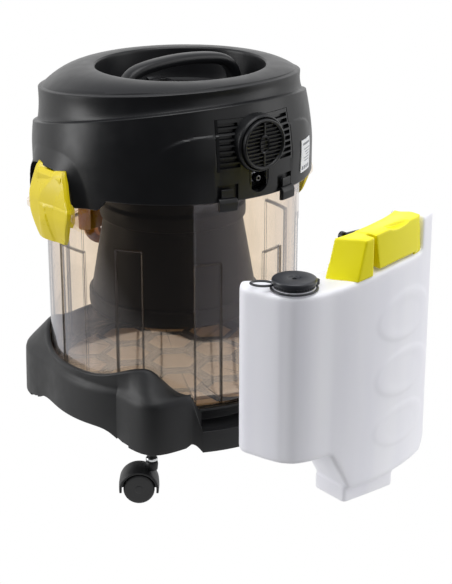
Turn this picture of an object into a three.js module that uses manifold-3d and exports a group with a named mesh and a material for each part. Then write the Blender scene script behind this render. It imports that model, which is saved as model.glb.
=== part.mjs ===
// Wet/dry spray-extraction vacuum: a wheeled base carries a smoked recovery drum, the motor head closes
// the drum, and a clean-water tank pulls off the rear. Millimetres, +Z up, +Y to the rear.
import * as THREE from "three";
import { mergeVertices } from "three/addons/utils/BufferGeometryUtils.js";
import Module from "manifold-3d";

const wasm = await Module();
wasm.setup();

// Driving dimensions. Heights are above the floor, radii are about the drum's axis.
const gap = 0.3;
const base = {
  skirtZ: 103,
  wallR: 208,
  lobeR: 243,
  skirtRise: 17,
  ringZ: 122,
  edgeZ: 188,
  collarZ: 204,
  collarRise: 21,
  floorTopZ: 160,
  floorZ: 150,
};
const notch = {
  leftDeg: 29,
  rightDeg: 41,
  lipR: 218,
  lipZ: 129.5,
  lipBottomZ: 95,
  slotTopZ: 156,
  slotHalf: 86,
  slotY: 176,
};
const drum = { bottomZ: base.floorTopZ + gap, topZ: 486, footR: 196, rimR: 197, wall: 4 };
const head = {
  bottomZ: 483,
  plateZ: 490,
  r: 215,
  wall: 6,
  rimZ: 636,
  recessR: 128,
  recessY: 22,
  recessZ: 598,
  dip: 9,
};
const latch = { deg: 87.5, halfWidth: 50, topHalf: 40, footHalf: 27, pinR: 226, pinZ: 459 };
const brow = { halfDeg: 15.5, bottomZ: 460, topZ: 520 };
const panel = { halfDeg: 18.5, bottomZ: 530, topZ: 606, capZ: 566, capR: 37 };
const coupling = { z: 513, halfWidth: 16, stemX: -32, y: 222.5 };
const tank = {
  innerR: 203,
  outerR: 335,
  outerCentreY: -60,
  leftDeg: 39.5,
  rightDeg: 35.5,
  topZ: 458,
  shoulderZ: 512,
  cornerBottomZ: 225,
  sumpBottomZ: 155,
  wall: 3,
  outwards: 180,
  down: 40,
};
const filler = { x: 99, y: 231, deckZ: 464, boreR: 24 };
const caster = { r: 178, rearDeg: 47.5, wheelR: 24.2, trail: 20, hoodR: 30, halfWidth: 22 };
const frontY = -226;
const rearY = tank.outerCentreY + tank.outerR + tank.outwards;

const finish = (color, roughness, metalness = 0, opacity = 1) =>
  new THREE.MeshStandardMaterial({ color, roughness, metalness, opacity, transparent: opacity < 1 });
const blackShell = finish(0x1b1c1f, 0.45);
const blackBase = finish(0x1f2023, 0.6);
const glossBlack = finish(0x0c0c0e, 0.2);
const smoked = finish(0x6e5138, 0.15, 0, 0.45);
const milky = finish(0xeceeec, 0.4, 0, 0.92);
const yellow = finish(0xf5d90a, 0.35);
const chrome = finish(0xd5d8dc, 0.15, 1);
const rubber = finish(0x141414, 0.85);
const label = finish(0xf2f2f2, 0.5);

const rad = THREE.MathUtils.degToRad;

// A closed geometry as a solid, with its shared vertices merged.
function solidOf(geometry) {
  const bare = geometry.clone();
  bare.deleteAttribute("normal");
  bare.deleteAttribute("uv");
  const merged = mergeVertices(bare, 1e-3);
  const vertProperties = merged.attributes.position.array;
  const triVerts = new Uint32Array(merged.index.array);
  return new wasm.Manifold(new wasm.Mesh({ numProp: 3, vertProperties, triVerts }));
}

function geometryOf(solid) {
  const { vertProperties, triVerts } = solid.getMesh();
  const geometry = new THREE.BufferGeometry();
  geometry.setAttribute("position", new THREE.BufferAttribute(vertProperties, 3));
  geometry.setIndex(new THREE.BufferAttribute(triVerts, 1));
  geometry.computeVertexNormals();
  return geometry;
}

const cut = (geometry, ...tools) =>
  geometryOf(tools.reduce((left, tool) => left.subtract(solidOf(tool)), solidOf(geometry)));
const join = (geometry, ...others) =>
  geometryOf(others.reduce((whole, other) => whole.add(solidOf(other)), solidOf(geometry)));
const common = (geometry, other) => geometryOf(solidOf(geometry).intersect(solidOf(other)));

// Outline of [radius, height] points turned about the upright axis.
function lathe(points, segments = 36) {
  const outline = points.map(([r, z]) => new THREE.Vector2(r, z));
  return new THREE.LatheGeometry(outline, segments).rotateX(Math.PI / 2);
}

// The same outline about an axis along Y: its heights become depths towards the rear.
const latheY = (points, segments = 24) => lathe(points, segments).rotateX(-Math.PI / 2);

// Plan shape raised from z0 to z1.
function raise(shape, z0, z1, bevel = 0, curveSegments = 4) {
  const options = {
    depth: z1 - z0 - 2 * bevel,
    bevelEnabled: bevel > 0,
    bevelThickness: bevel,
    bevelSize: bevel,
    bevelOffset: -bevel,
    bevelSegments: 1,
    curveSegments,
  };
  return new THREE.ExtrudeGeometry(shape, options).translate(0, 0, z0 + bevel);
}

// Side outline of [x, z] points, running from y0 to y1.
function prism(points, y0, y1) {
  const shape = new THREE.Shape(points.map(([x, z]) => new THREE.Vector2(x, z)));
  const options = { depth: y1 - y0, bevelEnabled: false };
  return new THREE.ExtrudeGeometry(shape, options).rotateX(Math.PI / 2).translate(0, y1, 0);
}

function box(x0, x1, y0, y1, z0, z1) {
  const block = new THREE.BoxGeometry(x1 - x0, y1 - y0, z1 - z0);
  return block.translate((x0 + x1) / 2, (y0 + y1) / 2, (z0 + z1) / 2);
}

// Part of a ring between two radii. Degrees are counted from the rear, positive towards +X.
function sector(r0, r1, deg0, deg1, z0, z1, segments = 8) {
  const from = rad(90 - deg1);
  const to = rad(90 - deg0);
  const shape = new THREE.Shape();
  shape.absarc(0, 0, r1, from, to, false);
  shape.absarc(0, 0, r0, to, from, true);
  return raise(shape, z0, z1, 0, segments);
}

const upright = (r, x, y, z0, z1, segments = 18) =>
  new THREE.CylinderGeometry(r, r, z1 - z0, segments).rotateX(Math.PI / 2).translate(x, y, (z0 + z1) / 2);

function piece(name, geometry, material) {
  const mesh = new THREE.Mesh(geometry, material);
  mesh.name = name;
  return mesh;
}

// Base: a shallow dish under the drum, a deep skirt with four corner lobes, and a notch with a low lip
// at the rear. The collar round the drum climbs at every lobe.
const onDiagonal = (angle) => Math.abs(Math.sin(2 * angle)) ** 7;

function baseChassis() {
  const { skirtZ, skirtRise, wallR, lobeR, ringZ, edgeZ, collarZ, collarRise, floorTopZ, floorZ } = base;
  const seatR = drum.footR + 2;
  const outline = [
    [0, floorZ], [144, floorZ], [150, ringZ], [202, ringZ], [204, skirtZ], [wallR, skirtZ],
    [wallR, edgeZ - 12], [wallR - 2, edgeZ - 3], [wallR - 6, edgeZ + 3], [seatR + 2.5, collarZ],
    [seatR, collarZ - 1], [seatR, floorTopZ], [0, floorTopZ],
  ];
  const dish = lathe(outline, 48);
  const at = dish.attributes.position;
  for (let i = 0; i < at.count; i++) {
    const r = Math.hypot(at.getX(i), at.getY(i));
    const lobe = onDiagonal(Math.atan2(at.getX(i), at.getY(i)));
    if (at.getZ(i) > collarZ - 2) at.setZ(i, at.getZ(i) + collarRise * lobe);
    if (r < seatR + 3) continue;
    const scale = 1 + (lobeR / wallR - 1) * lobe;
    at.setXY(i, at.getX(i) * scale, at.getY(i) * scale);
    if (at.getZ(i) < ringZ - 1) at.setZ(i, skirtZ + skirtRise * (1 - lobe));
  }
  const { leftDeg, rightDeg, lipR, lipZ, lipBottomZ, slotTopZ, slotHalf, slotY } = notch;
  const bosses = casters.map(({ x, y }) => upright(14, x, y, 96, ringZ + 1, 14));
  const bores = casters.map(({ x, y }) => upright(5.5 + gap, x, y, 90, 117, 10));
  const opening = sector(seatR - 2.5, 270, -rightDeg, leftDeg, floorTopZ, 240);
  const step = sector(drum.footR, 270, -rightDeg, leftDeg, lipZ, floorTopZ + 1);
  const slot = box(-slotHalf, slotHalf, slotY, 230, lipZ, slotTopZ);
  const lip = sector(seatR, lipR, -rightDeg, leftDeg, lipBottomZ, lipZ + 1);
  const behind = sector(lipR, 270, -rightDeg, leftDeg, 90, 240);
  return cut(join(dish, lip, ...bosses), ...bores, opening, step, slot, behind);
}

// Each caster: a stem in the chassis, a hood over the wheel, and a twin wheel on the hood's axle.
const onCircle = (deg, r) => ({ x: r * Math.sin(rad(deg)), y: r * Math.cos(rad(deg)) });
const casters = [
  { name: "rear_left", ...onCircle(caster.rearDeg, caster.r), turn: 35.5 },
  { name: "rear_right", ...onCircle(-caster.rearDeg, caster.r), turn: -62 },
  { name: "front", ...onCircle(180, caster.r), turn: 118 },
];

function casterHood() {
  const { wheelR, hoodR, halfWidth, trail } = caster;
  const steps = 9;
  const outer = [];
  for (let i = 0; i <= steps; i++) {
    const a = rad(-6 + (192 * i) / steps);
    outer.push([trail + hoodR * Math.cos(a), wheelR + hoodR * Math.sin(a)]);
  }
  const inner = [];
  for (let i = 0; i <= steps; i++) {
    const a = rad(186 - (192 * i) / steps);
    inner.push([trail + (hoodR - 3) * Math.cos(a), wheelR + (hoodR - 3) * Math.sin(a)]);
  }
  const arch = prism([...outer, ...inner], -halfWidth, halfWidth);
  const web = common(prism(outer, -2.5, 2.5), box(-12, 60, -3, 3, wheelR - 6, 60));
  const stem = upright(5.5, 0, 0, 46, 115, 10);
  const neck = upright(9, 0, 0, 38, 64, 12);
  const axle = new THREE.CylinderGeometry(3, 3, 2 * halfWidth - 12, 10).translate(trail, 0, wheelR);
  const post = cut(join(neck, stem), prism(inner, -halfWidth, halfWidth));
  return join(arch, web, post, axle);
}

function casterDisc() {
  const { wheelR, halfWidth } = caster;
  const boreR = 3 + gap;
  const bore = halfWidth - 5;
  const outline = [
    [boreR, 3], [wheelR - 2, 3], [wheelR, 5], [wheelR, halfWidth - 3], [wheelR - 3, halfWidth],
    [0, halfWidth], [0, bore], [boreR, bore], [boreR, 3],
  ];
  return latheY(outline, 18);
}

function casterGroup({ name, x, y, turn }) {
  const group = new THREE.Group();
  group.position.set(x, y, 0);
  group.rotation.z = rad(-turn);
  const collar = lathe([[5.8, 66], [9, 66], [9, 70], [5.8, 70], [5.8, 66]], 12);
  group.add(piece("caster_hood_" + name, casterHood(), blackBase));
  group.add(piece("caster_collar_" + name, collar, chrome));
  for (const [side, turned] of [["a", 0], ["b", Math.PI]]) {
    const disc = piece("caster_wheel_" + name + "_" + side, casterDisc(), rubber);
    disc.position.set(caster.trail, 0, caster.wheelR);
    disc.rotation.z = turned;
    group.add(disc);
  }
  return group;
}

// Drum: a tapered smoked tub with a hole for the hose inlet at the front.
const inletZ = 345;

function recoveryDrum() {
  const { bottomZ, topZ, footR, rimR, wall } = drum;
  const outline = [
    [0, bottomZ], [footR - 3, bottomZ], [footR, bottomZ + 3], [rimR, topZ], [rimR - wall, topZ],
    [footR - wall, bottomZ + wall + 2], [footR - wall - 2, bottomZ + wall], [0, bottomZ + wall],
  ];
  const hole = new THREE.CylinderGeometry(25, 25, 60, 24).translate(0, -190, inletZ);
  return cut(lathe(outline), hole);
}

function inletBezel() {
  const outline = [
    [19, -180], [19, -209], [34, -209], [38, -206], [38, -200], [24.5, -198], [24.5, -180], [19, -180],
  ];
  return latheY(outline).translate(0, 0, inletZ);
}

function inletDeflector() {
  const outer = raise(roundedRect(-30, 30, -179.7, -138, 14), 306, 376);
  const inner = raise(roundedRect(-27, 27, -176, -141, 11), 300, 373);
  const port = new THREE.CylinderGeometry(19, 19, 20, 16).translate(0, -180, inletZ);
  return cut(outer, inner, port);
}

// Side latches: two ears and a pin stand on the drum, and the latch turns on the pin.
function latchBracket() {
  const { halfWidth, pinR, pinZ } = latch;
  const ear = [
    [198.5, pinZ - 20], [218, pinZ - 14], [231, pinZ - 5],
    [231, pinZ + 5], [220, pinZ + 10], [198.5, pinZ + 11],
  ];
  const ears = [-1, 1].map((side) => {
    const inner = side * (halfWidth + 0.6);
    const outer = side * (halfWidth + 4.5);
    return prism(ear, Math.min(inner, outer), Math.max(inner, outer));
  });
  const pin = new THREE.CylinderGeometry(3, 3, 2 * halfWidth + 6, 12).translate(pinR, 0, pinZ);
  return join(ears[0], pin, ears[1]);
}

function latchLever() {
  const { halfWidth, topHalf, footHalf, pinR, pinZ } = latch;
  const outline = [
    [217.2, 515], [222, 520], [229, 514], [234, 498], [236, 475], [236, 449], [233, 426], [228, 412],
    [223, 410], [224, 421], [225, 437], [218, 449], [218, 469], [225, 479], [224, 494], [217.2, 502],
  ];
  const bore = new THREE.CylinderGeometry(3 + gap, 3 + gap, 120, 12).translate(pinR, 0, pinZ);
  const half = [[footHalf, 406], [footHalf + 11, 418], [halfWidth, 458], [halfWidth, 478], [topHalf, 516]];
  const front = [...half, [topHalf - 8, 523], [8 - topHalf, 523]];
  front.push(...half.map(([x, z]) => [-x, z]).reverse());
  const face = prism(front, -250, -200).rotateZ(Math.PI / 2);
  return cut(common(prism(outline, -halfWidth, halfWidth), face), bore);
}

// Head: a drum-shaped shell whose upper steps climb towards the rear, round a deep top recess.
const climbs = [[530, 0], [584, 0.13], [640, 0.09]];

function climb(z) {
  if (z <= climbs[0][0]) return 0;
  for (let i = 1; i < climbs.length; i++) {
    const [z0, k0] = climbs[i - 1];
    const [z1, k1] = climbs[i];
    if (z <= z1) return k0 + ((k1 - k0) * (z - z0)) / (z1 - z0);
  }
  return climbs[climbs.length - 1][1];
}

// The skirt dips a little under each side latch.
function skirtDip(x, y) {
  const off = Math.abs(Math.atan2(Math.abs(y), Math.abs(x)));
  return head.dip * THREE.MathUtils.clamp((rad(26) - off) / rad(6), 0, 1);
}

function headSolid(inset) {
  const { bottomZ, r, rimZ } = head;
  const side = [[r - 3, bottomZ], [r, bottomZ + 4], [r + 1, 520], [r - 1, 560], [r - 5, 596]];
  const steps = [[r - 11, 601], [r - 13, 620], [r - 18, 625], [r - 26, rimZ - 3], [r - 38, rimZ]];
  const top = rimZ - inset;
  const outer = [...side, ...steps].map(([pr, pz]) => [pr - inset, Math.min(pz, top)]);
  const solid = lathe([[0, bottomZ - inset], [outer[0][0], bottomZ - inset], ...outer, [0, top]], 40);
  const at = solid.attributes.position;
  for (let i = 0; i < at.count; i++) {
    const [x, y, z] = [at.getX(i), at.getY(i), at.getZ(i)];
    const dip = z < 486 && Math.hypot(x, y) > 100 ? skirtDip(x, y) : 0;
    at.setZ(i, z + climb(z) * y - dip);
  }
  return solid;
}

function headShell() {
  const { r, wall, recessR, recessY, recessZ } = head;
  const outer = headSolid(0);
  const cup = common(upright(recessR + 5, 0, recessY, recessZ - 5, 700, 36), outer);
  const recess = upright(recessR, 0, recessY, recessZ, 720, 36);
  const pocket = box(-coupling.halfWidth, coupling.halfWidth, 190, 240, 496, 529.3);
  const brows = [90, -90].map((deg) => {
    const edges = [deg - brow.halfDeg, deg + brow.halfDeg];
    return sector(r - 2.5, r + 20, ...edges, brow.bottomZ, brow.topZ, 4);
  });
  const seat = sector(r - 3, r + 20, -panel.halfDeg - 0.3, panel.halfDeg + 0.3, panel.bottomZ, panel.topZ);
  const gland = new THREE.CylinderGeometry(9, 9, 60, 12).translate(0, -205, 545);
  return cut(join(cut(outer, headSolid(wall)), cup), recess, pocket, ...brows, seat, gland);
}

function headPlate() {
  const { plateZ, r, wall } = head;
  const [inner, outer, top] = [60, r - wall - 1, plateZ + 4];
  return lathe([[inner, plateZ], [outer, plateZ], [outer, top], [inner, top], [inner, plateZ]]);
}

function rimGasket() {
  const z0 = drum.topZ + gap;
  const z1 = head.plateZ - gap;
  return lathe([[187, z0], [194, z0], [194, z1], [187, z1], [187, z0]]);
}

function filterTower() {
  const top = head.plateZ - gap;
  const outline = [
    [0, 262], [126, 262], [134, 270], [134, 288], [108, 406], [114, 410], [114, 432], [108, 437], [108, top],
    [105, top], [105, 407], [131, 287], [131, 271], [125, 265], [0, 265],
  ];
  return lathe(outline, 28);
}

function vacuumMotor() {
  const z = head.plateZ + 4 + gap;
  return lathe([[0, z], [84, z], [84, z + 30], [66, z + 36], [66, z + 80], [40, z + 90], [0, z + 90]], 24);
}

function carryHandle() {
  const z0 = head.recessZ + gap;
  const half = 96;
  const bend = new THREE.CatmullRomCurve3(
    [
      [-half - 8, z0], [-half - 6, z0 + 26], [-half + 14, z0 + 47], [0, z0 + 56],
      [half - 14, z0 + 47], [half + 6, z0 + 26], [half + 8, z0],
    ].map(([x, z]) => new THREE.Vector3(x, 0, z)),
  );
  const grip = new THREE.Shape().absellipse(0, 0, 10, 14, 0, 2 * Math.PI, false);
  const bar = new THREE.ExtrudeGeometry(grip, { extrudePath: bend, steps: 14, curveSegments: 3 });
  return common(bar, box(-200, 200, -60, 60, z0, 720)).translate(0, head.recessY, 0);
}

function switchPlate() {
  const z0 = head.recessZ + gap;
  const plate = raise(roundedRect(-46, 46, -89, -51, 6), z0, z0 + 6);
  const windows = [-1, 1].map((side) => box(side * 22 - 15, side * 22 + 15, -80, -60, z0 + 1.5, z0 + 20));
  return cut(plate, ...windows);
}

function roundedRect(x0, x1, y0, y1, r) {
  const shape = new THREE.Shape();
  shape.absarc(x1 - r, y1 - r, r, 0, Math.PI / 2, false);
  shape.absarc(x0 + r, y1 - r, r, Math.PI / 2, Math.PI, false);
  shape.absarc(x0 + r, y0 + r, r, Math.PI, 1.5 * Math.PI, false);
  shape.absarc(x1 - r, y0 + r, r, 1.5 * Math.PI, 2 * Math.PI, false);
  return shape;
}

function rocker(side) {
  const z = head.recessZ + gap + 8;
  const half = 14;
  const outline = [[-9, z - 2], [0, z - 6], [9, z - 2], [9, z + 1.5], [0, z], [-9, z + 3.5]];
  const profile = prism(outline, -half, half).rotateZ(Math.PI / 2);
  return profile.translate(side * 22, -70, 0);
}

// Rear fittings of the head.
function exhaustPanel() {
  const { halfDeg, bottomZ, topZ, capZ, capR } = panel;
  const plate = sector(head.r - 3 + gap, head.r + 4, -halfDeg, halfDeg, bottomZ + gap, topZ - gap);
  const slots = [];
  for (const side of [-1, 1]) {
    for (let i = 0; i < 5; i++) {
      const z = bottomZ + 10 + i * 12;
      const edges = [side * 12.5, side * 17.3].sort((a, b) => a - b);
      slots.push(sector(head.r + 1.5, head.r + 8, ...edges, z, z + 5, 1));
    }
  }
  const ring = latheY([[0, 210], [capR + 5, 210], [capR + 5, 222], [capR + 1, 224], [0, 224]], 20);
  const collar = cut(ring.translate(0, 0, capZ), upright(head.r + 1.8, 0, 0, 500, 640, 48));
  const well = new THREE.CylinderGeometry(capR + 1, capR + 1, 30, 20).translate(0, 232, capZ);
  return cut(join(cut(plate, ...slots), collar), well);
}

function exhaustCap() {
  const { capZ, capR } = panel;
  const face = 230;
  const cup = latheY([[0, 217.6], [capR, 217.6], [capR, face - 3], [capR - 4, face], [0, face]], 20);
  const recess = latheY([[0, face - 5], [capR - 6, face - 5], [capR - 6, face + 2], [0, face + 2]], 20);
  const hub = latheY([[0, face - 6], [10, face - 6], [10, face + 1], [8, face + 3], [0, face + 3]], 12);
  const slats = [-20, -10, 0, 10, 20].map((dz) => box(-36, 36, face - 6, face - 1, dz - 1.2, dz + 1.2));
  const bar = box(-2.5, 2.5, face - 6, face, -36, 36);
  const filled = join(cut(cup, recess), hub, bar, ...slats);
  const limit = latheY([[0, 210], [capR, 210], [capR, 236], [0, 236]], 20);
  return common(filled, limit).translate(0, 0, capZ);
}

function couplingPocket() {
  const half = coupling.halfWidth - gap;
  const outer = box(-half, half, 196, 215, 496 + gap, 529);
  const inner = box(-half + 2, half - 2, 199, 230, 494, 527);
  return cut(outer, inner);
}

function couplingNipple() {
  const outline = [
    [0, 199.3], [8, 199.3], [8, 203], [5, 204], [5, 209], [6, 210], [6, 212], [4.5, 214], [0, 214],
  ];
  return latheY(outline, 12).translate(0, 0, coupling.z);
}

function tankHook(side) {
  const edges = [side * 10.6, side * 18.4].sort((a, b) => a - b);
  return sector(head.r + 1.3, head.r + 13, ...edges, 474, 506, 4);
}

const ratingPlate = () => sector(head.r + 1.3, head.r + 2.1, -36, -26, 500, 548, 4);

function powerGland() {
  const outline = [
    [0, frontY], [8, frontY], [10, -219], [13, -217], [13, -215.6], [8.6, -215.6], [8.6, -196], [0, -196],
  ];
  return latheY(outline, 12).translate(0, 0, 545);
}

// Clean-water tank, drawn where it docks; its group then stands it off the rear.
function tankPlan(inset) {
  const { innerR, outerR, outerCentreY, leftDeg, rightDeg } = tank;
  const outer = outerR - inset;
  const [left, right] = [leftDeg, rightDeg].map((deg) => rad(deg) - inset / 245);
  const outerAngle = (half) => {
    const lift = -outerCentreY * Math.cos(half);
    const reach = Math.sqrt(lift ** 2 - outerCentreY ** 2 + outer ** 2) - lift;
    return Math.atan2(reach * Math.sin(half), reach * Math.cos(half) - outerCentreY);
  };
  const back = Math.PI / 2;
  const shape = new THREE.Shape();
  shape.absarc(0, outerCentreY, outer, back - outerAngle(left), back + outerAngle(right), false);
  shape.absarc(0, 0, innerR + inset, back + right, back - left, true);
  return shape;
}

// The left end is drawn in: its flat face runs from the rear corner out to the curved outer wall.
function leftEnd(inset) {
  const corners = [[149, 179], [135, 249], [121, 320], [300, 320], [300, 179]];
  const shape = new THREE.Shape(corners.map(([x, y]) => new THREE.Vector2(x - inset, y)));
  return raise(shape, 100, 500);
}

function tankBlank(inset) {
  const { topZ, shoulderZ, cornerBottomZ, sumpBottomZ } = tank;
  const bevel = inset ? 0 : 7;
  const block = raise(tankPlan(inset), sumpBottomZ + inset, topZ - inset, bevel, 12);
  const cornerZ = cornerBottomZ + inset;
  const underZ = sumpBottomZ - 2;
  const crease = [[60 - inset, cornerZ], [28 - inset, underZ]];
  const flank = prism([...crease, [28, 100], [260, 100], [260, cornerZ]], 100, 400);
  const corner = prism([[inset - 140, underZ], [-180, underZ + 40 + inset], [-260, 100]], 100, 400);
  const shoulderX = -124 - inset;
  const shoulder = common(
    raise(tankPlan(inset), topZ - 20, shoulderZ - inset, bevel, 12),
    box(-260, shoulderX, 100, 400, topZ - 25, shoulderZ),
  );
  const headRoom = upright(head.r + 3 + inset, 0, 0, topZ + 6 - inset, shoulderZ + 20, 36);
  return join(cut(block, flank, corner, leftEnd(inset)), cut(shoulder, headRoom));
}

function solutionTank() {
  const { wall, sumpBottomZ } = tank;
  const deck = upright(36, filler.x, filler.y, 450, filler.deckZ, 20);
  const foot = box(-61, 35, 201, 268, 138, sumpBottomZ + 2);
  const bore = upright(filler.boreR, filler.x, filler.y, 440, 480, 20);
  return cut(join(tankBlank(0), deck, foot), tankBlank(wall), bore);
}

function tankHandle() {
  const { outerR, outerCentreY, topZ } = tank;
  const z0 = topZ + gap;
  const top = 517;
  const ring = (r0, r1, za, zb) => {
    const shape = new THREE.Shape();
    shape.absarc(0, outerCentreY, r1, rad(60), rad(120), false);
    shape.absarc(0, outerCentreY, r0, rad(120), rad(60), true);
    return raise(shape, za, zb, 0, 16);
  };
  const end = { x: 42, y: 229, turn: rad(22) };
  const left = prism([[0, z0], [-26, top], [-60, top], [-60, z0]], -40, 80)
    .rotateZ(end.turn)
    .translate(end.x, end.y, 0);
  const right = prism([[-98, z0], [-98, top], [-121, top], [-121, z0]], 150, 320);
  const middle = box(-100, 4, 150, 320, z0, top);
  const leftBlock = common(ring(outerR - 46, outerR - 6, z0, top), left);
  const rightBlock = common(ring(outerR - 44, outerR - 6, z0, top), right);
  const grip = common(ring(outerR - 32, outerR - 7, z0, top), middle);
  return join(leftBlock, grip, rightBlock);
}

function outletCoupling() {
  const { stemX, y, z } = coupling;
  const stem = upright(5.5, stemX, y, tank.topZ + gap, z + 5, 12);
  const arm = new THREE.CylinderGeometry(5, 5, -stemX, 12).rotateZ(Math.PI / 2).translate(stemX / 2, y, z);
  const mouth = latheY([[0, 215.5], [8, 215.5], [8, 226], [0, 226]], 16).translate(0, 0, z);
  const socket = latheY([[0, 214], [6, 214], [6, 218], [0, 218]], 12).translate(0, 0, z);
  return cut(join(stem, arm, mouth), socket);
}

function neckRing() {
  const z = filler.deckZ + gap;
  const bore = filler.boreR - 1;
  const outline = [[bore, z], [33.5, z], [33.5, z + 3], [27, z + 4], [27, z + 11], [bore, z + 11], [bore, z]];
  return lathe(outline, 20).translate(filler.x, filler.y, 0);
}

function fillerCap() {
  const z = filler.deckZ + 5;
  const top = z + 14;
  const outline = [
    [27.6, z], [30, z], [30.5, z + 2], [30.5, top - 2], [28.5, top], [9, top], [8, top - 2], [0, top - 2],
    [0, top - 4.5], [27.6, top - 4.5], [27.6, z],
  ];
  return lathe(outline, 20).translate(filler.x, filler.y, 0);
}

function capTether() {
  const ring = (x, y, r0, r1) => {
    const shape = new THREE.Shape().absarc(x, y, r1, 0, 2 * Math.PI, false);
    shape.holes.push(new THREE.Path().absarc(x, y, r0, 0, 2 * Math.PI, true));
    return raise(shape, filler.deckZ + gap, filler.deckZ + 3, 0, 10);
  };
  return join(ring(filler.x, filler.y, 34, 36.5), ring(filler.x + 37, filler.y - 24, 8, 10.5));
}

// Assembly.
const machine = new THREE.Group();
machine.position.y = -(frontY + rearY) / 2;
machine.add(piece("base_chassis", baseChassis(), blackBase));
casters.forEach((place) => machine.add(casterGroup(place)));
machine.add(piece("recovery_drum", recoveryDrum(), smoked));
machine.add(piece("inlet_bezel", inletBezel(), yellow));
machine.add(piece("inlet_deflector", inletDeflector(), glossBlack));
machine.add(piece("head_shell", headShell(), blackShell));
machine.add(piece("head_plate", headPlate(), blackShell));
machine.add(piece("rim_gasket", rimGasket(), rubber));
machine.add(piece("filter_tower", filterTower(), glossBlack));
machine.add(piece("vacuum_motor", vacuumMotor(), chrome));
machine.add(piece("water_pump", upright(22, -140, 40, 494 + gap, 545), blackShell));
machine.add(piece("float_ball", new THREE.IcosahedronGeometry(22, 2).translate(0, 0, 288), label));
machine.add(piece("carry_handle", carryHandle(), blackShell));
machine.add(piece("switch_plate", switchPlate(), glossBlack));
machine.add(piece("rocker_vacuum", rocker(1), glossBlack));
machine.add(piece("rocker_pump", rocker(-1), glossBlack));
machine.add(piece("exhaust_panel", exhaustPanel(), blackShell));
machine.add(piece("exhaust_cap", exhaustCap(), blackShell));
machine.add(piece("coupling_pocket", couplingPocket(), glossBlack));
machine.add(piece("coupling_nipple", couplingNipple(), chrome));
machine.add(piece("rating_plate", ratingPlate(), label));
machine.add(piece("power_gland", powerGland(), rubber));

for (const [side, name] of [[1, "left"], [-1, "right"]]) {
  const group = new THREE.Group();
  group.rotation.z = rad(90 - side * latch.deg);
  group.add(piece("latch_bracket_" + name, latchBracket(), smoked));
  group.add(piece("latch_" + name, latchLever(), yellow));
  machine.add(group);
  machine.add(piece("tank_hook_" + name, tankHook(side), blackShell));
}

const tankGroup = new THREE.Group();
tankGroup.position.set(0, tank.outwards, -tank.down);
tankGroup.add(piece("solution_tank", solutionTank(), milky));
tankGroup.add(piece("tank_handle", tankHandle(), yellow));
tankGroup.add(piece("outlet_coupling", outletCoupling(), glossBlack));
tankGroup.add(piece("neck_ring", neckRing(), milky));
tankGroup.add(piece("filler_cap", fillerCap(), glossBlack));
tankGroup.add(piece("cap_tether", capTether(), glossBlack));
machine.add(tankGroup);

const part = new THREE.Group();
part.add(machine);

export default part;
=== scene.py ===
"""Looks of a wet and dry extraction vacuum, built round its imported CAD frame.

Lengths are millimetres in the machine's own frame (drum axis at x = y = 0, floor at z = 0) until metres()
turns them into metres in the row frame. Angles are degrees from the rear, positive towards +X.
"""
import math

import bmesh
import bpy
import numpy as np
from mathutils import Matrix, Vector


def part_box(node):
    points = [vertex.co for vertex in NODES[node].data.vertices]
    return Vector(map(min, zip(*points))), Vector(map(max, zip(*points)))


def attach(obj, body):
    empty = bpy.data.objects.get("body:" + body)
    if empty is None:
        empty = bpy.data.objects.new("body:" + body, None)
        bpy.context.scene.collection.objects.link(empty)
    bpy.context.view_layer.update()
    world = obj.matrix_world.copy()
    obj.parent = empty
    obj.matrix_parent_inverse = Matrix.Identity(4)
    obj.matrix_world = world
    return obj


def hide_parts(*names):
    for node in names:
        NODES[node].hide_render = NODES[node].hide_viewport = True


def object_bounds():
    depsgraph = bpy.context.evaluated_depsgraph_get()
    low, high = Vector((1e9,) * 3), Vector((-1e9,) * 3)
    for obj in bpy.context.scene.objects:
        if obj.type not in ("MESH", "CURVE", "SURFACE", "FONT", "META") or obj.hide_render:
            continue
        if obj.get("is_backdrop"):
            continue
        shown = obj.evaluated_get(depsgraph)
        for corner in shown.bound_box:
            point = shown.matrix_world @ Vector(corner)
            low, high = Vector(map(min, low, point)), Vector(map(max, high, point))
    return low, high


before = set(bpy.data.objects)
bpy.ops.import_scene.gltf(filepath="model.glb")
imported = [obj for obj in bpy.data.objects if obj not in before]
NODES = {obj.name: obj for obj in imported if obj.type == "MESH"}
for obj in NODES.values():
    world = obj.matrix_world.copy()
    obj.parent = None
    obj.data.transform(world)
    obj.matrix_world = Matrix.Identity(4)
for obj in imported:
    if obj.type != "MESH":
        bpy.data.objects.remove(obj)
cad_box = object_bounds()
drum_low, drum_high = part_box("recovery_drum")
AXIS_Y = (drum_low.y + drum_high.y) / 2
scene = bpy.context.scene

# Driving sizes.
DRUM_R = 197
INLET_Z = 345
HEAD_R = 215
BASE_R = 208
NOTCH = (-37, 24.6)
NOTCH_SLOPE = 4.4
LIP_R = 218
CELL = 84
RECESS_R = 128
RECESS_Y = 24
RECESS_Z = 598
BROW_DEG = 93
BROW_HALF = 17.5
BROW_TOP = 520
LATCH_DEG = 87.5
LATCH_PIN = (226, 459)
CAP_Z = 566
CAP_R = 37
PANEL_HALF = 18.5
PANEL_Z = (531, 604.5)
TANK_Y = 180
TANK_Z = -40
TANK_AT = (0, TANK_Y, TANK_Z)
TANK_INNER = 203
TANK_OUTER = 335
TANK_CENTRE_Y = -60
FILLER = (96, 232)
CAMERA_TURN = math.radians(35.5)


# ---------------------------------------------------------------- mesh helpers
def smooth(x):
    x = min(1.0, max(0.0, x))
    return x * x * (3 - 2 * x)


def mix(a, b, t):
    return a + (b - a) * t


def polar(r, deg, z):
    a = math.radians(deg)
    return (r * math.sin(a), r * math.cos(a), z)


def metres(p, offset=(0, 0, 0)):
    x, y, z = (c + o for c, o in zip(p, offset))
    return (x / 1000, y / 1000 + AXIS_Y, z / 1000)


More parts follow.
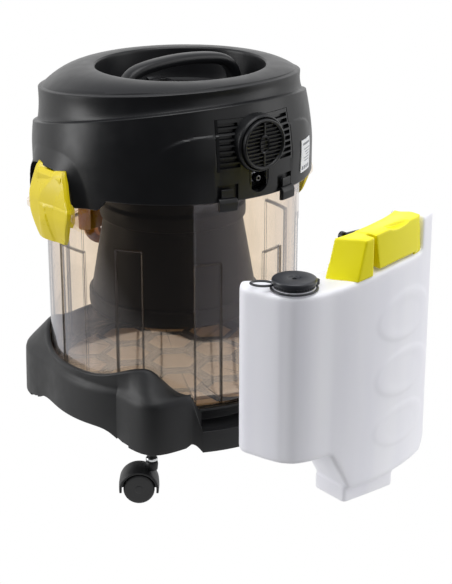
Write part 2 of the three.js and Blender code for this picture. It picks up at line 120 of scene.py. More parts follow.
def rounded(corners, steps=4):
    """Closed outline of (u, v, radius) corners; a radius makes the corner a curve of steps + 1 points."""
    out = []
    count = len(corners)
    for i, (u, v, radius) in enumerate(corners):
        if radius == 0:
            out.append((u, v))
            continue
        ends = []
        for other in (corners[i - 1], corners[(i + 1) % count]):
            du, dv = other[0] - u, other[1] - v
            length = math.hypot(du, dv) or 1
            reach = min(radius, 0.48 * length) / length
            ends.append((u + du * reach, v + dv * reach))
        (au, av), (bu, bv) = ends
        for k in range(steps + 1):
            t = k / steps
            p, q, s = (1 - t) ** 2, 2 * t * (1 - t), t * t
            out.append((p * au + q * u + s * bu, p * av + q * v + s * bv))
    return out


def turns(steps):
    return [2 * math.pi * k / steps for k in range(steps)]


def circle(radius, steps, u=0, v=0, height=None):
    """Points round a circle, or round an ellipse when its half height is given."""
    height = height or radius
    return [(u + radius * math.cos(t), v + height * math.sin(t)) for t in turns(steps)]


def shell(rows, along=False, offset=(0, 0, 0)):
    """A closed body through closed rows: along joins the last row to the first, else both ends are flat."""
    wide, last = len(rows[0]), len(rows) - 1
    faces = []
    for i in range(last + along):
        low, high = i * wide, (i + 1) % len(rows) * wide
        for j in range(wide):
            k = (j + 1) % wide
            faces.append((low + j, low + k, high + k, high + j))
    if not along:
        faces += [tuple(range(wide)), tuple(last * wide + j for j in range(wide))]
    mesh = bpy.data.meshes.new("solid")
    mesh.from_pydata([metres(p, offset) for row in rows for p in row], [], faces)
    bm = bmesh.new()
    bm.from_mesh(mesh)
    bmesh.ops.remove_doubles(bm, verts=bm.verts, dist=1e-5)
    bmesh.ops.dissolve_degenerate(bm, dist=1e-6, edges=bm.edges)
    bmesh.ops.recalc_face_normals(bm, faces=bm.faces)
    bm.to_mesh(mesh)
    bm.free()
    obj = bpy.data.objects.new("solid", mesh)
    scene.collection.objects.link(obj)
    return obj


def settle(obj):
    """Applies the object's modifiers to its mesh."""
    depsgraph = bpy.context.evaluated_depsgraph_get()
    mesh = bpy.data.meshes.new_from_object(obj.evaluated_get(depsgraph))
    obj.modifiers.clear()
    old = obj.data
    obj.data = mesh
    bpy.data.meshes.remove(old)
    return obj


def carve(obj, cutters, operation="DIFFERENCE"):
    for cutter in cutters:
        modifier = obj.modifiers.new("cut", "BOOLEAN")
        modifier.operation = operation
        modifier.object = cutter
        modifier.solver = "EXACT"
    settle(obj)
    for cutter in cutters:
        bpy.data.objects.remove(cutter)
    return obj


def joined(parts):
    target = parts[0]
    bm = bmesh.new()
    for part in parts:
        bm.from_mesh(part.data)
    bm.to_mesh(target.data)
    bm.free()
    for part in parts[1:]:
        bpy.data.objects.remove(part)
    return target


def melt(obj, voxel, passes=0):
    """Remeshes a body into one skin of even cells, and smooths it."""
    remesh = obj.modifiers.new("melt", "REMESH")
    remesh.mode = "VOXEL"
    remesh.voxel_size = voxel / 1000
    if passes:
        soften = obj.modifiers.new("soften", "SMOOTH")
        soften.factor = 0.5
        soften.iterations = passes
    return settle(obj)


def fuse(parts, voxel, passes, cutters=()):
    """Joins solids, cuts the cutters out, and melts the result into one moulded skin with soft edges."""
    obj = joined(parts)
    if cutters:
        obj = carve(melt(obj, voxel), cutters)
    return melt(obj, voxel, passes)


def bevelled(obj, width):
    modifier = obj.modifiers.new("edge", "BEVEL")
    modifier.width = width / 1000
    modifier.segments = 2
    modifier.limit_method = "ANGLE"
    modifier.angle_limit = math.radians(40)
    return settle(obj)


def dress(obj, name, material, body, nodes=(), sharp=32):
    """Names a finished mesh, gives it its material, ties it to its body, and hides the CAD nodes it replaces."""
    obj.name = name
    obj.data.name = name
    obj.data.materials.clear()
    obj.data.materials.append(material)
    obj.data.shade_smooth()
    obj.data.set_sharp_from_angle(angle=math.radians(sharp))
    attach(obj, body)
    if nodes:
        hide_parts(*nodes)
    return obj


def turned(section, angles, offset=(0, 0, 0), full=True):
    """A body turned about the drum's axis whose closed section may change with the angle."""
    rows = [[polar(r, a, z) for r, z in section(a)] for a in angles]
    return shell(rows, full, offset)


def ring(outline, steps=72, offset=(0, 0, 0)):
    return turned(lambda a: outline, [360 * i / steps for i in range(steps)], offset)


def ring_y(outline, steps=64, offset=(0, 0, 0)):
    """The same about an axis along Y: the outline is (radius, y)."""
    rows = [[(r * math.cos(t), y, r * math.sin(t)) for r, y in outline] for t in turns(steps)]
    return shell(rows, True, offset)


def prism(outline, place, near, far):
    """A closed (u, v) outline carried from depth near to far; place(u, v, depth) gives the point."""
    rows = [[place(u, v, depth) for u, v in outline] for depth in (near, far)]
    return shell(rows)


def block(x0, x1, y0, y1, z0, z1, radius=1.0, steps=3):
    """A box whose plan corners are rounded and whose top and bottom edges are eased."""
    plan = rounded([(x0, y0, radius), (x1, y0, radius), (x1, y1, radius), (x0, y1, radius)], steps)
    cx, cy = (x0 + x1) / 2, (y0 + y1) / 2
    ease = min(radius * 0.5, (z1 - z0) / 3)
    rows = []
    for z, inset in ((z0, ease), (z0 + ease, 0), (z1 - ease, 0), (z1, ease)):
        kx = 1 - inset / ((x1 - x0) / 2)
        ky = 1 - inset / ((y1 - y0) / 2)
        rows.append([(cx + (x - cx) * kx, cy + (y - cy) * ky, z) for x, y in plan])
    return shell(rows)


def sector(r0, r1, a0, a1, z0, z1):
    return turned(lambda a: [(r0, z0), (r1, z0), (r1, z1), (r0, z1)], span(a0, a1, 1), full=False)


def curved_slab(radius, depth, angles, heights):
    """A plate bent round the drum's axis; radius(angle, z) is its face, and depth its thickness."""
    rows = []
    for a in angles:
        face = [polar(radius(a, z), a, z) for z in heights]
        back = [polar(radius(a, z) - depth, a, z) for z in reversed(heights)]
        rows.append(face + back)
    return shell(rows)


def span(start, end, step):
    count = max(1, round(abs(end - start) / step))
    return [mix(start, end, i / count) for i in range(count + 1)]


def with_edges(values, edges, width):
    """The values with a close pair of extra ones at each edge, so that a step there stays steep."""
    extra = [e + s * width for e in edges for s in (-0.5, 0.5)]
    kept = [v for v in values if all(abs(v - e) > width for e in edges)]
    low, high = min(values), max(values)
    return sorted(kept + [e for e in extra if low <= e <= high])


# ---------------------------------------------------------------- materials
def new_material(name):
    material = bpy.data.materials.new(name)
    material.use_nodes = True
    tree = material.node_tree
    return material, tree, tree.nodes["Principled BSDF"]


def put(socket, value):
    socket.default_value = value


def noise(tree, scale, detail=3.0, stretch=(1, 1, 1)):
    """A noise field in object space, so that it moves with its piece."""
    place = tree.nodes.new("ShaderNodeTexCoord")
    mapping = tree.nodes.new("ShaderNodeMapping")
    put(mapping.inputs["Scale"], stretch)
    field = tree.nodes.new("ShaderNodeTexNoise")
    put(field.inputs["Scale"], scale)
    put(field.inputs["Detail"], detail)
    tree.links.new(place.outputs["Object"], mapping.inputs["Vector"])
    tree.links.new(mapping.outputs["Vector"], field.inputs["Vector"])
    return field.outputs["Fac"]


def spread(tree, field, low, high, start=0.3, end=0.7):
    node = tree.nodes.new("ShaderNodeMapRange")
    for socket, value in zip(("From Min", "From Max", "To Min", "To Max"), (start, end, low, high)):
        put(node.inputs[socket], value)
    tree.links.new(field, node.inputs["Value"])
    return node.outputs["Result"]


def feed(tree, socket, value):
    """Sets a socket to a number or a colour, or links a field to it."""
    if isinstance(value, tuple):
        put(socket, (*value, 1))
    elif isinstance(value, (int, float)):
        put(socket, value)
    else:
        tree.links.new(value, socket)


def tones(tree, field, first, second):
    node = tree.nodes.new("ShaderNodeMix")
    node.data_type = "RGBA"
    for name, value in (("Factor", field), ("A", first), ("B", second)):
        feed(tree, node.inputs[name], value)
    return node.outputs["Result"]


def maths(tree, operation, *values):
    node = tree.nodes.new("ShaderNodeMath")
    node.operation = operation
    for socket, value in zip(node.inputs, values):
        feed(tree, socket, value)
    return node.outputs[0]


def mixed(tree, share, first, second):
    node = tree.nodes.new("ShaderNodeMixShader")
    for socket, value in zip(node.inputs, (share, first, second)):
        tree.links.new(value, socket)
    return node.outputs["Shader"]


def relief(tree, fields):
    """Stacks (field, strength, distance) bumps and gives the last normal."""
    normal = None
    for field, strength, distance in fields:
        node = tree.nodes.new("ShaderNodeBump")
        put(node.inputs["Strength"], strength)
        put(node.inputs["Distance"], distance)
        tree.links.new(field, node.inputs["Height"])
        if normal:
            tree.links.new(normal, node.inputs["Normal"])
        normal = node.outputs["Normal"]
    return normal


def plastic(name, first, second, gloss, grain=900, depth=0.25, clouds=14, wave=0.0, shine=0.5):
    """Moulded plastic: two close tones in clouds, gloss that wanders between two limits, and a fine grain."""
    material, tree, shader = new_material(name)
    link = tree.links.new
    cloud = noise(tree, clouds)
    link(tones(tree, spread(tree, cloud, 0, 1), first, second), shader.inputs["Base Color"])
    link(spread(tree, noise(tree, clouds * 3.1), *gloss), shader.inputs["Roughness"])
    fields = [(noise(tree, grain, 2), depth, 0.0002)]
    if wave:
        fields.append((noise(tree, 9, 1), wave, 0.003))
    link(relief(tree, fields), shader.inputs["Normal"])
    put(shader.inputs["IOR"], 1.49)
    put(shader.inputs["Specular IOR Level"], shine)
    return material


def metal(name, first, second, gloss, grain=500):
    material = plastic(name, first, second, gloss, grain, 0.12)
    put(material.node_tree.nodes["Principled BSDF"].inputs["Metallic"], 1.0)
    return material


def tank_plastic():
    """Blow-moulded polyethylene: a milk-white tone, a little translucent, with faint upright flow marks and a faint
    painted glow standing in for light through its walls.
    """
    material, tree, shader = new_material("tank_milky")
    link = tree.links.new
    flow = noise(tree, 6, 2, (3.5, 3.5, 0.5))
    cloud = spread(tree, flow, 0, 1)
    link(tones(tree, cloud, (0.80, 0.80, 0.86), (0.86, 0.86, 0.90)), shader.inputs["Base Color"])
    link(spread(tree, noise(tree, 40), 0.34, 0.46), shader.inputs["Roughness"])
    link(relief(tree, [(noise(tree, 300, 2), 0.10, 0.0003), (flow, 0.08, 0.004)]), shader.inputs["Normal"])
    # Painted glow: a faint bluish-white emission brightens the whole tank, in place of light shining through its
    # walls.
    put(shader.inputs["Emission Color"], (0.93, 0.93, 1.0, 1))
    put(shader.inputs["Emission Strength"], 0.07)
    put(shader.inputs["Subsurface Weight"], 0.25)
    put(shader.inputs["Subsurface Radius"], (1.0, 0.95, 1.0))
    put(shader.inputs["Subsurface Scale"], 0.02)
    put(shader.inputs["IOR"], 1.5)
    return material


def smoked_plastic():
    """Clear smoked plastic: each wall tints what is behind it, and painted shade darkens its moulded steps and its
    foot, standing in for the dark lines that refraction draws at the steps.
    """
    material, tree, dark = new_material("smoked_clear")
    link = tree.links.new
    put(dark.inputs["Base Color"], (0.030, 0.020, 0.013, 1))
    put(dark.inputs["Roughness"], 0.25)
    clear = tree.nodes.new("ShaderNodeBsdfTransparent")
    cloud = spread(tree, noise(tree, 7, 2), 0, 1)
    link(tones(tree, cloud, (0.97, 0.92, 0.85), (0.98, 0.935, 0.875)), clear.inputs["Color"])
    mirror = tree.nodes.new("ShaderNodeBsdfPrincipled")
    put(mirror.inputs["Base Color"], (0.93, 0.93, 1.0, 1))
    put(mirror.inputs["Metallic"], 1.0)
    link(spread(tree, noise(tree, 30), 0.05, 0.10), mirror.inputs["Roughness"])
    link(relief(tree, [(noise(tree, 12, 1), 0.05, 0.002)]), mirror.inputs["Normal"])

    weight = tree.nodes.new("ShaderNodeLayerWeight")
    put(weight.inputs["Blend"], 0.5)
    grazing = maths(tree, "POWER", weight.outputs["Facing"], 2.3)
    side = tree.nodes.new("ShaderNodeNewGeometry").outputs["Backfacing"]
    gloss = maths(tree, "MULTIPLY_ADD", grazing, spread(tree, side, 0.8, 0.15, 0, 1), 0.035)
    glazed = mixed(tree, gloss, clear.outputs["BSDF"], mirror.outputs["BSDF"])
    # Painted shade: an opaque dark brown layer over the marked steps and foot, in place of the darkness refraction
    # gives there.
    edge = tree.nodes.new("ShaderNodeAttribute")
    edge.attribute_name = "edge"
    painted_step_shade = spread(tree, edge.outputs["Fac"], 0.012, 0.78, 0, 1)
    result = mixed(tree, painted_step_shade, glazed, dark.outputs["BSDF"])
    link(result, tree.nodes["Material Output"].inputs["Surface"])
    return material


shell_black = plastic(
    "shell_black", (0.0055, 0.0058, 0.0068), (0.0075, 0.0078, 0.009), (0.30, 0.37), 1100, 0.15, shine=0.36
)
base_black = plastic(
    "base_black", (0.0085, 0.0088, 0.0095), (0.012, 0.0122, 0.0132), (0.40, 0.50), 800, 0.3, shine=0.4
)
gloss_black = plastic("gloss_black", (0.006, 0.006, 0.007), (0.010, 0.010, 0.011), (0.14, 0.22), 1200, 0.05)
tower_black = plastic(
    "tower_black", (0.0035, 0.0035, 0.005), (0.005, 0.005, 0.0065), (0.36, 0.46), 260, 0.03, shine=0.16
)
cap_black = plastic("cap_black", (0.020, 0.022, 0.027), (0.030, 0.032, 0.038), (0.30, 0.42), 700, 0.2)
lemon = plastic("handle_yellow", (0.90, 0.80, 0.0015), (0.94, 0.86, 0.003), (0.34, 0.44), 800, 0.12, 10)
amber = plastic("latch_amber", (0.74, 0.58, 0.002), (0.82, 0.66, 0.003), (0.26, 0.36), 900, 0.10, 12)
orange = plastic("hook_amber", (0.42, 0.13, 0.008), (0.52, 0.18, 0.012), (0.26, 0.40), 700, 0.15, 20)
rubber = plastic("rubber", (0.012, 0.012, 0.012), (0.020, 0.020, 0.020), (0.62, 0.80), 600, 0.5)
wheel_black = plastic("wheel_black", (0.012, 0.012, 0.013), (0.018, 0.018, 0.019), (0.34, 0.48), 700, 0.2)
float_white = plastic("float_white", (0.80, 0.80, 0.77), (0.88, 0.88, 0.85), (0.25, 0.35), 500, 0.1)
label_white = plastic("label_white", (0.74, 0.75, 0.77), (0.80, 0.81, 0.83), (0.30, 0.42), 400, 0.08)
print_grey = plastic("print_grey", (0.20, 0.21, 0.23), (0.26, 0.27, 0.29), (0.45, 0.55), 400, 0.08)
# Painted light: a tan tone standing in for the lit floor seen through the openings of the chassis lattice.
painted_lattice_light = plastic("painted_lattice_light", (0.50, 0.38, 0.25), (0.62, 0.49, 0.34), (0.30, 0.45), 300, 0.2)
chrome = metal("chrome", (0.62, 0.63, 0.64), (0.72, 0.73, 0.74), (0.10, 0.20))
dull_metal = metal("dull_metal", (0.10, 0.10, 0.105), (0.16, 0.16, 0.17), (0.12, 0.24))
motor_alloy = metal("motor_alloy", (0.45, 0.46, 0.47), (0.56, 0.57, 0.58), (0.35, 0.50))
milky_painted_glow = tank_plastic()
smoked = smoked_plastic()


# ---------------------------------------------------------------- base
def lobe(deg):
    return abs(math.sin(math.radians(2 * deg))) ** 7


def base_reach(a):
    """The skirt's distance from the drum's axis: squared corners at the rear, rounder ones at the front."""
    if abs(a) > 90:
        return BASE_R + 38 * abs(math.sin(math.radians(2 * a))) ** 5
    s, c = abs(math.sin(math.radians(a))), math.cos(math.radians(a))
    corner = ((s / 182) ** 10 + (c / 187) ** 10) ** -0.1
    lift = smooth((corner - BASE_R + 9) / 18)
    return mix(BASE_R, max(BASE_R, corner), lift)


def base_section(deg):
    """The skirt and the deck climbing to the drum, or the low lip with its slot in the rear notch."""
    a = (deg + 180) % 360 - 180
    out = base_reach(a)
    bottom = 121 - 17 * smooth(2.2 * lobe(a))
    if 54 < abs(a) < 61 or 118 < abs(a) < 124:
        bottom += 3.5
    past = max(NOTCH[0] - a, a - NOTCH[1], 0)
    end = max(0, past - NOTCH_SLOPE)
    rim = 204 + 22 * lobe(a * 0.94 if abs(a) < 90 else 180 - (180 - abs(a)) * 0.94)
    if abs(a) < 70:
        rim = mix(184, rim, smooth(end / 19))
    in_notch = 1 - min(1, past / NOTCH_SLOPE)
    slot = 178 if abs(a) < 24.2 else 201.6
    closed = [
        (out - 6, bottom, 0.6), (out, bottom, 1.6), (out - 1, 150, 2), (out - 2, 181, 7), (out - 9, 189.5, 7),
        (206, rim - 2.5, 3), (202.5, rim, 2), (198.4, rim - 0.6, 0.6), (198.4, 170, 1), (198.4, 158.4, 0.5),
        (195, 158.4, 0.5), (190, 157, 0.5),
    ]
    opened = [
        (LIP_R - 7, 95, 0.6), (LIP_R, 95, 1.6), (LIP_R, 110, 2), (LIP_R, 129.4, 1.2),
        (LIP_R - 2.4, 129.4, 0.6), (206, 128.8, 1), (slot, 131.5, 1), (slot, 155.6, 1), (201.8, 156, 0.8), (201.8, 159.4, 0.8),
        (199.4, 159.4, 0.5), (190, 157, 0.5),
    ]
    top = [tuple(mix(p, q, in_notch) for p, q in zip(c, o)) for c, o in zip(closed, opened)]
    under = [(146, 152, 0), (152, 122, 2), (top[0][0] - 3, 122, 2)]
    return rounded(under + top + [(150, 156, 0), (0, 156, 0), (0, 152, 0)], 3)


def hexagon(cx, cy):
    """One raised cell of the pattern on the chassis floor."""
    rows = []
    for k in range(6):
        t = math.radians(60 * k + 30)
        section = ((37, 156.2), (48.4, 156.2), (46.5, 160), (39, 160))
        rows.append([(cx + r * math.cos(t), cy + r * math.sin(t), z) for r, z in section])
    return shell(rows, True)


def make_base():
    angles = span(-180, 177.6, 2.4)
    edges = [(NOTCH[0] - NOTCH_SLOPE / 2, NOTCH_SLOPE / 2), (NOTCH[1] + NOTCH_SLOPE / 2, NOTCH_SLOPE / 2)]
    edges += [(-24.3, 0.2), (24.3, 0.2)]
    edges += [(s * a, 0.3) for s in (-1, 1) for a in (54, 61, 118, 124)]
    for edge, width in edges:
        angles = [a for a in angles if abs(a - edge) > width]
        angles += span(edge - width, edge + width, width / 3)
    body = turned(base_section, sorted(angles))
    dress(body, "chassis", base_black, "base", ["base_chassis"], 35)
    ribs = []
    for row in range(-4, 5):
        for column in range(-4, 5):
            cx = (column + 0.5 * (row % 2)) * CELL
            cy = row * CELL * math.sqrt(3) / 2
            if math.hypot(cx, cy) < 146:
                ribs.append(hexagon(cx, cy))
    dress(joined(ribs), "chassis_ribs", base_black, "base")
    # The plate's tan is painted light in place of the lit floor showing through the lattice's openings.
    plate = ring([(0, 156.1), (188, 156.1), (188, 156.8), (0, 156.8)], 72)
    dress(plate, "chassis_floor_plate", painted_lattice_light, "base")


# ---------------------------------------------------------------- drum
PANELS = (
    (20.5, 6, 386), (55.3, 6, 407), (87, 8.6, 392), (123, 6, 380), (159, 6, 372),
    (-14, 6, 389), (-50, 6, 407), (-84, 8.6, 392), (-120, 6, 380), (-157, 6, 372),
)
PANEL_DEPTH = 1.8


def nearest_panel(deg):
    a = (deg + 180) % 360 - 180
    return min(((a - centre, half, top) for centre, half, top in PANELS), key=lambda p: abs(p[0]) - p[1])


def drum_section(deg):
    off, half, top = nearest_panel(deg)
    deep = PANEL_DEPTH if abs(off) <= half + 0.01 else 0
    r = DRUM_R - deep
    wall = 3.6
    levels = (168, top - 3, top - 1, top + 0.6, top + 2.6, 486)
    radii = (r, r, r, DRUM_R, DRUM_R, DRUM_R)
    outer = [(q, z, 0) for q, z in zip(radii, levels)]
    inner = [(q - wall, z, 0) for q, z in zip(reversed(radii), reversed(levels[1:]))]
    foot = [(190, 160.4, 0), (195 - deep, 161, 1.5), (r - 0.8, 165, 0)]
    return rounded(foot + outer + inner + [(r - wall - 0.6, 170, 3), (150, 166, 0), (0, 166, 0), (0, 163, 0), (186, 163, 1)], 3)


def make_drum():
    borders = [c + s * h for c, h, _ in PANELS for s in (-1, 1)]
    angles = with_edges(span(-180, 178, 2), borders, 0.36)
    angles = [a for a in angles if not any(0.3 < abs(a - b) < 1.2 for b in borders)]
    angles += [b + s * 0.62 for b in borders for s in (-1, 1)]
    body = turned(drum_section, sorted(angles))
    hole = ring_y([(0, -230), (25, -230), (25, -150), (0, -150)], 40, (0, 0, INLET_Z))
    carve(body, [hole])
    dress(body, "drum_wall", smoked, "base", ["recovery_drum"], 40)
    # Marks the panel steps and the drum's foot, where the smoked material lays its painted shade in place of
    # refraction darkness.
    edge = body.data.attributes.new("edge", "FLOAT", "POINT")
    values = []
    for vertex in body.data.vertices:
        x, y, z = vertex.co.x * 1000, (vertex.co.y - AXIS_Y) * 1000, vertex.co.z * 1000
        off, half, top = nearest_panel(math.degrees(math.atan2(x, y)))
        at_side = abs(abs(off) - half) < 0.3 and z < top + 1.2
        at_top = abs(off) < half + 0.3 and abs(z - top) < 1.8
        on_wall = math.hypot(x, y) > 150
        values.append(1.0 if on_wall and (at_side or at_top or z < 162) else 0.0)
    edge.data.foreach_set("value", values)


def make_tower():
    outline = rounded(
        [
            (0, 262, 0), (130, 262, 4), (134, 268, 3), (134, 290, 2), (126, 293, 2), (109, 405, 3),
            (108.5, 409, 0), (114, 411, 2), (114, 432, 2.5), (108, 437, 2), (108, 489.6, 0), (104, 489.6, 0),
            (104, 436, 0), (130, 287, 0), (124, 266, 0), (0, 266, 0),
        ],
        3,
    )
    tower = ring(outline, 96)
    dress(tower, "filter_tower_body", tower_black, "head", ["filter_tower"])


def make_inlet():
    outline = rounded(
        [(19, -180, 0), (19, -209, 2), (34, -209, 3), (38, -205, 2), (38, -200, 0), (24.5, -198, 1),
         (24.5, -180, 0)],
        3,
    )
    bezel = ring_y(outline, 64, (0, 0, INLET_Z))
    dress(bezel, "inlet_collar", orange, "base", ["inlet_bezel"])
    angles = span(180 - 19, 180 + 19, 2)
    levels = ((348, 172, 187), (350, 168, 190), (396, 168, 190), (399, 171, 187))
    rows = []
    for a in angles:
        ease = smooth(min(a - angles[0], angles[-1] - a) / 4 + 0.3)
        inner = [polar(mix(186, r, ease), a, z) for z, r, _ in levels]
        rows.append(inner + [polar(r, a, z) for z, _, r in levels[::-1]])
    dress(shell(rows), "inlet_hood", orange, "base", ["inlet_deflector"])


# ---------------------------------------------------------------- head
def brow_fields(deg, z):
    """Where this place lies in the latch opening and in the brow above it: 1 is on the outline, less is inside."""
    off = abs(abs((deg + 180) % 360 - 180) - BROW_DEG)
    opening = (off / BROW_HALF) ** 4 + (max(0, z - 469) / (BROW_TOP - 469)) ** 2
    band = (off / (BROW_HALF + 5)) ** 4 + (max(0, z - 462) / 83) ** 2
    return opening, band


def head_radius(deg, z):
    """The head's outer wall below its ledges."""
    a = abs((deg + 180) % 360 - 180)
    rear = (1 + math.cos(math.radians(a))) / 2
    base = mix(HEAD_R - 1, HEAD_R + 1, rear)
    base -= 10 * max(0, (z - 530) / 75) ** 1.6
    opening, band = brow_fields(deg, z)
    if band < 1:
        base += 9 * (1 - band) / max(1e-6, (1 - band) + max(0, opening - 1))
    line = 583.5 - 20 * (max(0, a - 18.5) / 21.6) ** 3
    if 18 < a < 43:
        base += 2.2 * smooth((line - z) / 2) * smooth((43 - a) / 12) * smooth((z - 490) / 70)
    return base


def skirt_bottom(deg):
    off = abs(abs((deg + 180) % 360 - 180) - BROW_DEG)
    return 485 - 16 * smooth((31 - off) / 5)


def ledges(deg):
    y = math.cos(math.radians(deg))
    return 584 + 0.183 * 214 * y, 626 + 0.094 * 205 * y


def recess_radius(deg):
    a = math.radians(deg)
    return RECESS_Y * math.cos(a) + math.sqrt(RECESS_R**2 - (RECESS_Y * math.sin(a)) ** 2)


WALL_LEVELS = 64


def head_section(deg):
    bottom = skirt_bottom(deg)
    second, first = ledges(deg)
    low = bottom + 2
    wall = [(HEAD_R - 8, low), (HEAD_R - 7, bottom), (head_radius(deg, bottom) - 2, bottom)]
    wall += [(head_radius(deg, low) - 0.3, bottom + 1)]
    for z in (mix(low, second - 4, i / WALL_LEVELS) for i in range(WALL_LEVELS + 1)):
        wall.append((head_radius(deg, z), z))
    r2 = head_radius(deg, second - 4)
    r1 = r2 - 10
    wall += [(r2 - 0.4, second - 1.3), (r2 - 1.4, second - 0.3), (r2 - 6.6, second + 1.2)]
    wall += [(r2 - 7.6, second + 2.6)]
    for t in (i / 6 for i in range(1, 7)):
        wall.append((mix(r2 - 8, r1, t) - 1.2 * math.sin(math.pi * t), mix(second + 3, first - 3.4, t)))
    wall += [(r1, first - 1.4), (r1 - 1, first - 0.4), (r1 - 6, first + 1.2), (r1 - 7, first + 2.8)]
    cup = recess_radius(deg)
    rim_z = 650 + 1.5 * math.cos(math.radians(deg))
    for t in (i / 12 for i in range(1, 13)):
        wall.append((mix(r1 - 7.4, cup + 7, t), first + 3 + (rim_z - first - 3) * (1 - (1 - t) ** 2.3)))
    wall += [(cup + 3, rim_z - 0.4), (cup + 0.8, rim_z - 2.5), (cup, rim_z - 6), (cup - 1, 610)]
    wall += [(cup - 4, 601), (cup - 9, RECESS_Z), (0, RECESS_Z), (0, RECESS_Z - 4), (cup - 4, RECESS_Z - 5)]
    wall += [(cup + 4, 604), (cup + 4, rim_z - 9), (r1 - 9, first - 6), (r2 - 8, second - 6), (HEAD_R - 8, 530)]
    return wall


def u_outline(half, low, high):
    """An upright slot outline with a round lower end."""
    return [(-half, high)] + (circle(half, 24, 0, low + half) * 2)[12:25] + [(half, high)]


def make_head():
    fine = [s * a for s in (-1, 1) for a in span(66, 120, 0.75)]
    fine += span(-48, 48, 1)
    angles = [a for a in span(-180, 177.5, 2.5) if not (66 <= abs(a) <= 120 or abs(a) <= 48)] + fine
    body = turned(head_section, sorted(angles))
    low, high = PANEL_Z[0] - 0.4, PANEL_Z[1] + 0.4
    seat = [(207.5, low), (240, low), (240, high), (199, high)]
    cutters = [turned(lambda a: seat, span(-PANEL_HALF - 0.2, PANEL_HALF + 0.2, 1), full=False)]
    flat = lambda u, v, depth: (u, depth, v)
    cutters.append(prism(u_outline(17.6, 493, 533), flat, 190, 240))
    for side in (-1, 1):
        edges = sorted((side * 9.6, side * 18.4))
        cutters.append(sector(HEAD_R - 4, 240, *edges, 488, 511))
        a = math.radians(side * BROW_DEG)
        place = lambda u, v, depth, a=a: (
            depth * math.sin(a) + u * math.cos(a), depth * math.cos(a) - u * math.sin(a), v
        )
        half = 217 * math.radians(BROW_HALF)
        arch = []
        for k in range(33):
            t = mix(-1, 1, k / 32)
            arch.append((half * t, 469 + (BROW_TOP - 469) * math.sqrt(max(0, 1 - t**4))))
        cutters.append(prism([(-half, 440)] + arch + [(half, 440)], place, 207, 245))
    cutters.append(ring_y([(0, -240), (9, -240), (9, -190), (0, -190)], 32, (0, 0, 545)))
    carve(body, cutters)
    dress(body, "head_cover", shell_black, "head", ["head_shell"], 26)


def make_exhaust_panel():
    """Louvred panel behind the motor, with the collar that holds the round outlet."""
    slots = [(z, z + 5.2) for z in (535.5 + 8.3 * i for i in range(8))]
    slot_ends = (9.0, 17.4)

    def face(deg, z):
        a = abs(deg)
        r = head_radius(19, z) + 0.6 - (1 - smooth(min(PANEL_HALF - a, 3) / 3 * 2.5))
        in_slot = slot_ends[0] < a < slot_ends[1] and any(low < z < high for low, high in slots)
        return r - 6.5 if in_slot else r

    edges = [s * a for s in (-1, 1) for a in slot_ends]
    angles = with_edges(span(-PANEL_HALF, PANEL_HALF, 0.8), edges, 0.12)
    heights = with_edges(span(*PANEL_Z, 2.2), [z for pair in slots for z in pair], 0.5)
    plate = curved_slab(face, 9, angles, heights)
    hole = CAP_R + 1
    carve(plate, [ring_y([(0, 200), (hole, 200), (hole, 250), (0, 250)], 56, (0, 0, CAP_Z))])
    outline = [(hole, 205, 0), (hole + 4.5, 205, 0), (hole + 4, 221, 2.5), (hole + 1, 224, 1.5), (hole, 222, 1)]
    collar = ring_y(rounded(outline, 3), 72, (0, 0, CAP_Z))
    dress(joined([plate, collar]), "exhaust_louvres", shell_black, "head", ["exhaust_panel"], 28)


def make_exhaust_cap():
    """The round outlet: a rim, slanted slats, two stays and an oval hub."""
    face_y = 230
    rim = rounded(
        [(0, 217, 0), (CAP_R, 217, 0), (CAP_R, face_y - 1, 2), (CAP_R - 2.5, face_y, 1),
         (CAP_R - 5, face_y - 2.5, 1), (CAP_R - 5.5, face_y - 7, 0), (0, face_y - 7, 0)],
        3,
    )
    parts = [ring_y(rim, 72)]
    inner = CAP_R - 5.2
    for z in (5.6 * i for i in range(-5, 6)):
        half = math.sqrt(max(1, inner**2 - z * z))
        slat = ((-7.5, -0.4), (-7.5, 1.0), (-2.6, -0.2), (-2.9, -1.6))
        parts.append(prism([(face_y + y, z + v) for y, v in slat], lambda u, v, d: (d, u, v), -half, half))
    hub = ((1, -7.5), (1, -2.2), (0.9, -1.2), (0.76, -2.4), (0.7, -5), (0.3, -5.4))
    oval = circle(9, 40, height=14)
    parts.append(shell([[(x * scale, face_y + y, z * scale) for x, z in oval] for scale, y in hub]))
    for z0, z1 in ((13, inner), (-inner, -13)):
        parts.append(block(-1.6, 1.6, face_y - 7, face_y - 1.8, z0, z1, 0.6))
    cap = joined(parts)
    for vertex in cap.data.vertices:
        vertex.co.z += CAP_Z / 1000
    dress(cap, "exhaust_outlet_cap", shell_black, "exhaust_cap", ["exhaust_cap"], 30)


def make_hooks():
    bracket = rounded([(216.4, 472, 1), (223.4, 473, 2), (224, 486, 2), (221, 492, 2), (216.4, 492, 1)], 3)
    tongue = rounded([(216.6, 492.2, 0.5), (219, 492.2, 0.5), (219, 505, 1), (216.6, 505, 0.5)], 3)
    for side, name in ((1, "left"), (-1, "right")):
        start, end = sorted((side * 10.8, side * 18.1))
        body = bevelled(turned(lambda a: bracket, span(start, end, 0.6), full=False), 0.8)
        lip = turned(lambda a: tongue, span(start + 1.2, end - 1.2, 0.6), full=False)
        dress(joined([body, lip]), "hook_" + name, shell_black, "head", ["tank_hook_" + name], 35)


def make_nipple():
    outline = rounded(
        [(0, 199.4, 0), (9, 199.4, 1), (9, 203, 1), (5, 204, 1), (5, 207, 0), (6.2, 208, 1), (6.2, 210, 1),
         (5, 212, 1), (4, 214, 1), (2.2, 214, 0.5), (2.2, 206, 0), (0, 206, 0)],
        3,
    )
    nipple = ring_y(outline, 40, (0, 0, 513))
    dress(nipple, "outlet_nipple", dull_metal, "head", ["coupling_nipple"])


